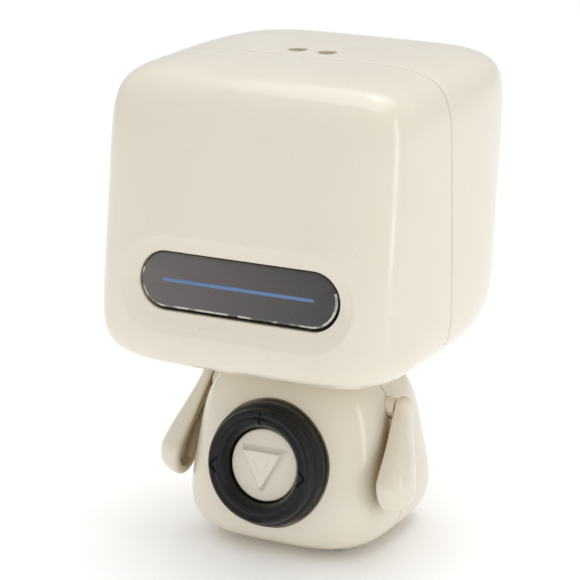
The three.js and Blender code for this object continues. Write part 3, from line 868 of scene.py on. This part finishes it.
def build_foot():
    low, high = extent("foot_pad")
    thick, edge = high[2] - low[2], 0.35
    around = circle(160)
    core = np.sign(np.round(around, 9)) * (high[:2] - PAD_CORNER)
    steps = [(PAD_CORNER, 0), (edge, 0), (edge * 0.3, edge * 0.3), (0, edge), (0, thick - 0.1), (0.1, thick),
             (PAD_CORNER, thick)]
    rows = [at_height(core + around * (PAD_CORNER - inset), low[2] + z) for inset, z in steps]
    piece_from_rows("rubber_foot", rows, "black_rubber", "torso", 40, "foot_pad",
                    cap_first=True, cap_last=True)


# ------ control ring and button
RING_FOOT, RING_BORE_R, RING_SKIRT_R, RING_SKIRT_END = -1.0, 11.2, 12.6, -5.5
RING_FOOT_SUNK = 0.05  # the foot's depth under the torso's surface
RING_LIP = [
    (0.2, 0.0), (0.35, 1.3), (0.75, 2.4), (1.3, 2.95), (1.45, 3.5), (1.55, 4.4), (2.0, 5.25), (2.7, 5.7),
    (3.6, 5.45), (4.5, 5.7), (5.2, 5.5), (5.85, 4.6), (6.35, 3.6), (6.65, 2.8), (6.7, 1.5),
]  # inset from the outer radius, and height
MARK_DEPTH, MARK_HALF, MARK_LOWEST = 0.5, 0.2, 3.8
CHEVRON = (0.95, 2.0)  # half width and half height


def chevron(centre_x, centre_y, towards):
    """The two strokes of an arrow head that points left (-1) or right (1)."""
    apex = (centre_x + towards * CHEVRON[0], centre_y)
    return [(apex, (centre_x - towards * CHEVRON[0], centre_y + s * CHEVRON[1])) for s in (-1, 1)]


MARKS = [
    ((-2.1, 12.7), (1.3, 12.7)), ((-0.4, 11.0), (-0.4, 14.4)), ((-1.3, -14.1), (1.7, -14.1)),
    *chevron(-13.1, -1.2, -1), *chevron(12.5, -1.0, 1),
]


def stroke_distance(flat, start, end):
    start, end = np.array(start, float), np.array(end, float)
    along = np.clip(((flat - start) @ (end - start)) / ((end - start) @ (end - start)), 0, 1)
    return np.linalg.norm(flat - start - along[:, None] * (end - start), axis=1)


def smooth_curve(points, steps):
    """Catmull-Rom curve through points, with that many steps between them."""
    points = np.array(points, float)
    ends = np.vstack([2 * points[0] - points[1], points, 2 * points[-1] - points[-2]])
    made = []
    for k in range(1, len(ends) - 2):
        a, b, c, d = ends[k - 1:k + 3]
        for t in np.linspace(0, 1, steps, endpoint=False):
            made.append(0.5 * (2 * b + (c - a) * t + (2 * a - 5 * b + 4 * c - d) * t * t
                               + (3 * b - a - 3 * c + d) * t ** 3))
    made.append(points[-1])
    return np.array(made)


def build_ring():
    """The control ring, turned round its axis, with its four engraved marks.

    Its foot follows the torso down into the seat.
    """
    outer = half_size("control_ring")[0]
    soft = smooth_curve([(outer - inset, z) for inset, z in RING_LIP], 9)
    profile = np.vstack([
        [(outer - 0.4, RING_FOOT), (outer - 0.2, RING_FOOT + 0.2)], soft,
        [(10.0, -1.5), (RING_BORE_R, -1.6), (RING_BORE_R, RING_SKIRT_END), (RING_SKIRT_R, RING_SKIRT_END),
         (RING_SKIRT_R, RING_FOOT)]])
    slope = np.gradient(profile, axis=0)
    across = unit(np.column_stack([-slope[:, 1], slope[:, 0]]))
    if across[len(soft) // 2][1] < 0:
        across = -across
    around = circle(720)
    foot = np.minimum(0, TORSO.depth_under(chest, around * RING_SEAT["r"]) - RING_FOOT_SUNK - RING_FOOT)
    rows = []
    for (r, z), (nr, nz) in zip(profile, across):
        depth = np.zeros(len(around))
        if z > MARK_LOWEST:
            near = np.min([stroke_distance(around * r, *mark) for mark in MARKS], axis=0)
            depth = MARK_DEPTH * smoothstep(MARK_HALF + 0.12, MARK_HALF - 0.08, near)
        sunk = foot if RING_FOOT <= z < 0 else 0
        rows.append(chest.world(at_height(around * (r - nr * depth)[:, None], z - nz * depth + sunk)))
    rows.append(rows[0])
    piece_from_rows("control_ring_cover", rows, "soft_black", "ring", 50, "control_ring")


TRIANGLE_FOOT = np.array([(-7.3, 5.2), (7.6, 5.1), (-0.2, -7.9)])
TRIANGLE_TOP = np.array([(-5.7, 3.45), (4.95, 3.5), (-0.2, -6.2)])
TRIANGLE_RISE, DIMPLE = 1.15, 0.15
FOOT_SHARPNESS, TOP_SHARPNESS, FLANK_POWER = 2.2, 5, 1.7
DIMPLE_EDGE = (1.5, 1.9)  # distances inside the triangle's top
BUTTON = {"front": 2.25, "skirt": -0.2, "taper": 0.84, "edge": 0.5, "crown": 0.25}


def triangle_distance(flat, corners, sharp):
    """Distance outside a triangle with rounded corners, negative inside."""
    distances = []
    for k in range(3):
        a, b = corners[k], corners[(k + 1) % 3]
        along = (b - a) / np.linalg.norm(b - a)
        out = np.array([-along[1], along[0]])
        distances.append((flat - a) @ out)
    return np.log(np.sum(np.exp(sharp * np.array(distances)), axis=0)) / sharp


def build_button():
    """The centre button: a slightly crowned disc with a raised triangle on hollow flanks."""
    radius = half_size("center_button")[0]
    skirt, taper, edge, crown = (BUTTON[key] for key in ("skirt", "taper", "edge", "crown"))
    face_height = BUTTON["front"] - crown
    around = circle(300)
    centre = TRIANGLE_TOP.mean(0)
    along = around @ centre
    reach = -along + np.sqrt(along ** 2 + radius ** 2 - centre @ centre)
    rim = centre + around * reach[:, None]
    rows = [at_height(rim * taper, skirt), at_height(rim, skirt)]
    for t in np.linspace(0, math.pi / 2, 5)[:-1]:
        inward = 1 - edge / radius * (1 - math.cos(t))
        rows.append(at_height(rim * inward, face_height - edge + edge * math.sin(t)))
    for k in np.linspace(1, 0, 72):
        flat = (centre + around * reach[:, None] * k) * (1 - edge / radius)
        swell = crown * (1 - (np.linalg.norm(flat, axis=1) / radius) ** 2)
        past_foot = np.maximum(-triangle_distance(flat, TRIANGLE_FOOT, FOOT_SHARPNESS), 0)
        inside = -triangle_distance(flat, TRIANGLE_TOP, TOP_SHARPNESS)
        climb = past_foot / (past_foot + np.maximum(-inside, 0) + 1e-9)
        rise = TRIANGLE_RISE * climb ** FLANK_POWER - DIMPLE * smoothstep(*DIMPLE_EDGE, inside)
        rows.append(at_height(flat, face_height + swell + rise))
    rows = [chest.world(row) for row in rows]
    piece_from_rows("center_button_cap", rows, "cream_shell", "button", 50, "center_button", cap_first=True)


# ------ arms
ARM = {"length": 20.6, "top_r": 3.4, "end_r": 7.0, "top_thick": 3.3, "end_thick": 7.3, "inner_x": 2.8}
ARM_WAIST, ARM_EDGE = 0.45, 1.0
RECESS = {"top": 8.5, "top_r": 1.0, "end_r": 4.4, "floor": 1.7, "fillet": 0.4, "lip": 0.7}


def teardrop(r0, r1, top=0.0, waist=0.0, arc=40, run=26):
    """Outline of a circle below the pivot, a bigger one at the arm's end, and the sides between them."""
    end_y = -ARM["length"]
    lean = math.asin((r1 - r0) / (ARM["length"] - top))
    upper = [(r0 * math.cos(a), -top + r0 * math.sin(a)) for a in np.linspace(-lean, math.pi + lean, arc)]
    lower = [(r1 * math.cos(a), end_y + r1 * math.sin(a))
             for a in np.linspace(math.pi + lean, 2 * math.pi - lean, arc)]

    def side(start, end):
        points = []
        for t in np.linspace(0, 1, run)[1:-1]:
            x, y = np.array(start) * (1 - t) + np.array(end) * t
            points.append((x - math.copysign(waist * math.sin(math.pi * t) ** 2, x), y))
        return points

    return np.array(upper + side(upper[-1], lower[0]) + lower + side(lower[-1], upper[0]))


def turned(a, b, angle):
    """Two coordinates after a turn in their own plane."""
    return a * math.cos(angle) - b * math.sin(angle), a * math.sin(angle) + b * math.cos(angle)


def arm_points(sign, rows):
    """Puts rows of (depth, across, along) points of the left arm's own frame where the arm hangs."""
    placed = []
    for x, y, z in (row.T for row in rows):
        x, y = turned(x, y, ARM_YAW)
        x, z = turned(x, z, ARM_SPLAY)
        y, z = turned(y, z, -ARM_REST)
        x = x + ARM["inner_x"] + abs(shoulder[0])
        placed.append(np.column_stack([sign * x, y + shoulder[1], z + shoulder[2]]))
    return placed


def arm_thickness(along):
    eased = (np.clip(along, 0, 1) + smoothstep(0, 1, along)) / 2
    return ARM["top_thick"] + (ARM["end_thick"] - ARM["top_thick"]) * eased


def build_arm(side, sign):
    """One arm: a sunk inner face with a soft lip, a rounded edge, and a domed outer face."""
    rows = []

    def add_row(outline, depth):
        rows.append(np.column_stack([np.broadcast_to(depth, len(outline)), outline]))

    floor, fillet, lip = RECESS["floor"], RECESS["fillet"], RECESS["lip"]
    bends = np.linspace(0, math.pi / 2, 6)
    sunk = [(0.9, floor), (fillet, floor)]
    sunk += [(fillet * (1 - math.sin(t)), floor - fillet * (1 - math.cos(t))) for t in bends]
    sunk += [(-lip * (1 - math.cos(t)), lip * (1 - math.sin(t))) for t in bends]
    for inset, depth in sunk:
        add_row(teardrop(RECESS["top_r"] - inset, RECESS["end_r"] - inset, RECESS["top"]), depth)
    for t in bends:
        inset = ARM_EDGE * (1 - math.sin(t))
        outline = teardrop(ARM["top_r"] - inset, ARM["end_r"] - inset, waist=ARM_WAIST)
        add_row(outline, ARM_EDGE * (1 - math.cos(t)))

    outline = teardrop(ARM["top_r"], ARM["end_r"], waist=ARM_WAIST)
    reach = np.clip(-outline[:, 1], 0, ARM["length"])
    power = 3.9 - 1.5 * reach / ARM["length"]
    start = np.arcsin((ARM_EDGE / arm_thickness(reach / ARM["length"])) ** (power / 2))
    spine = np.column_stack([np.zeros(len(outline)), -reach])
    for k in np.linspace(0, 1, 34)[1:]:
        t = start + (math.pi / 2 - start) * k
        shrink = 1 - np.cos(t) ** (2 / power)
        flat = outline + (spine - outline) * shrink[:, None]
        add_row(flat, arm_thickness(-flat[:, 1] / ARM["length"]) * np.sin(t) ** (2 / power))
    piece_from_rows(f"{side}_arm", arm_points(sign, rows), "cream_shell", f"{side}_arm", 50,
                    f"{side}_arm_shell", f"{side}_arm_inner_cover", cap_first=True)


BOSS = {"inward": 1.4, "outward": 0.2, "edge": 0.3, "bore_r": 1.9}


def build_shoulder(side, sign):
    """The round boss between the torso and an arm."""
    low, high = extent(f"{side}_shoulder_washer")
    radius, edge, bore_r = (high[2] - low[2]) / 2, BOSS["edge"], BOSS["bore_r"]
    inner, outer = (low[0], high[0]) if sign > 0 else (high[0], low[0])
    inner, outer = inner - sign * BOSS["inward"], outer + sign * BOSS["outward"]
    around = circle(72)
    rows = []
    for r, x in [(radius, inner), (radius, outer - sign * edge),
                 (radius - edge * 0.3, outer - sign * edge * 0.3), (radius - edge, outer),
                 (bore_r, outer), (bore_r, inner), (radius, inner)]:
        rows.append(np.column_stack([np.full(len(around), x), shoulder[1:] + r * around]))
    piece_from_rows(f"{side}_shoulder_boss", rows, "cream_shell", "torso", 40, f"{side}_shoulder_washer")


# ------ back of the torso
def build_switch_knob():
    """The power switch's knob, with three grip ridges."""
    place, back = centre_of("power_switch_knob"), extent("power_switch_knob")[1][1]
    width, ridge_size, ridge_pitch = 2.8, np.array([0.3, 0.4, 2.2]), 0.8
    boxes = [(place, np.array([width, 2 * half_size("power_switch_knob")[1], width]))]
    for k in (-1, 0, 1):
        boxes.append((np.array([place[0] + k * ridge_pitch, back - 0.02, place[2]]), ridge_size))
    made = bmesh.new()
    for centre, size in boxes:
        for v in bmesh.ops.create_cube(made, size=1)["verts"]:
            v.co = Vector((centre + np.array(v.co) * size).tolist()) * MM
    mesh = bpy.data.meshes.new("power_knob")
    made.to_mesh(mesh)
    made.free()
    knob = add_piece("power_knob", mesh, "soft_black", "power_knob", "power_switch_knob")
    round_edges(knob, 0.12, 2)


# ------ floor and light
def build_stage():
    made = Finish("pale_floor", roughness=0.6, Emission_Color=(1, 1, 1, 1), Emission_Strength=0.12)
    made.set("Base Color", made.blend(made.noise(6), linear(252, 252, 252), linear(253, 253, 253)))
    mesh = bpy.data.meshes.new("floor")
    reach = 6  # metres
    corners = [(x * reach, y * reach, 0) for x, y in ((-1, -1), (1, -1), (1, 1), (-1, 1))]
    mesh.from_pydata(corners, [], [(0, 1, 2, 3)])
    mesh.materials.append(made.material)
    floor = add_object("floor", mesh)


def area_light(name, place, size, power, aim=(0, 0, 0.07), mirrored=True):
    light = bpy.data.lights.new(name, "AREA")
    light.shape = "RECTANGLE"
    light.size, light.size_y = size
    light.energy = power
    thing = add_object(name, light)
    thing.location = place
    thing.visible_glossy = mirrored
    thing.rotation_euler = (Vector(place) - Vector(aim)).to_track_quat("Z", "Y").to_euler()


WORLD_STRENGTH = 0.63


def build_light():
    scene = bpy.context.scene
    scene.view_settings.view_transform = "Standard"
    world = bpy.data.worlds.new("studio")
    scene.world = world
    world.use_nodes = True
    set_inputs(world.node_tree.nodes["Background"], Color=(1, 1, 1, 1), Strength=WORLD_STRENGTH)
    area_light("overhead", (0, 0.1, 1.5), (1.5, 1.5), 10.5)
    area_light("overhead_spot", (0.04, 0.3, 1.15), (0.25, 0.25), 0.8)
    area_light("front_fill", (0.05, -1.4, 0.1), (0.8, 0.8), 2.9, aim=(0, 0, 0.06), mirrored=False)
    area_light("side_strip", (0.5, -0.045, 0.2), (0.09, 0.38), 0.3, aim=(0, -0.045, 0.2))


# ------ the robot
make_camera()
finish_cad_nodes()
build_head()
build_grille()
build_window()
build_torso()
build_foot()
build_ring()
build_button()
for side, sign in (("left", 1), ("right", -1)):
    build_arm(side, sign)
    build_shoulder(side, sign)
build_switch_knob()
build_stage()
build_light()
